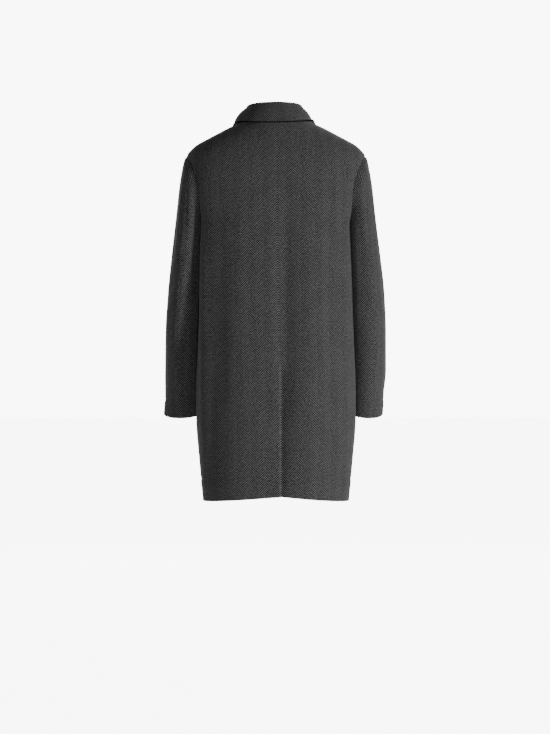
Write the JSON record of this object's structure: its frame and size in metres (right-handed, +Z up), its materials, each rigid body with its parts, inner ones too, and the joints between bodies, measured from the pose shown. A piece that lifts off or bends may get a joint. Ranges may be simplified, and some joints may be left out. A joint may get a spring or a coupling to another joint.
{
  "type": "knee-length wool coat, worn shape",
  "caption": "Hollow worn wool coat with a turned-down collar, set-in two-piece sleeves, a buttoned front and a centre back seam that opens into a lapped vent at the hem.",
  "frame": {"origin": "middle of the neck opening, level with the points where the shoulders meet the neck", "axes": "+Z up, +Y towards the back of the coat, +X towards the wearer's left"},
  "size_m": [0.5867, 0.294, 1.0267],
  "materials": {
    "wool": "brushed woven wool, matte",
    "buttons": "satin"
  },
  "bodies": {
    "root": {"back_left": "wool", "back_right": "wool", "front_left": "wool", "front_right": "wool", "top_sleeve_left": "wool", "under_sleeve_left": "wool", "top_sleeve_right": "wool", "under_sleeve_right": "wool", "collar": "wool", "button_1": "buttons", "button_2": "buttons", "button_3": "buttons", "button_4": "buttons"}
  },
  "joints": []
}
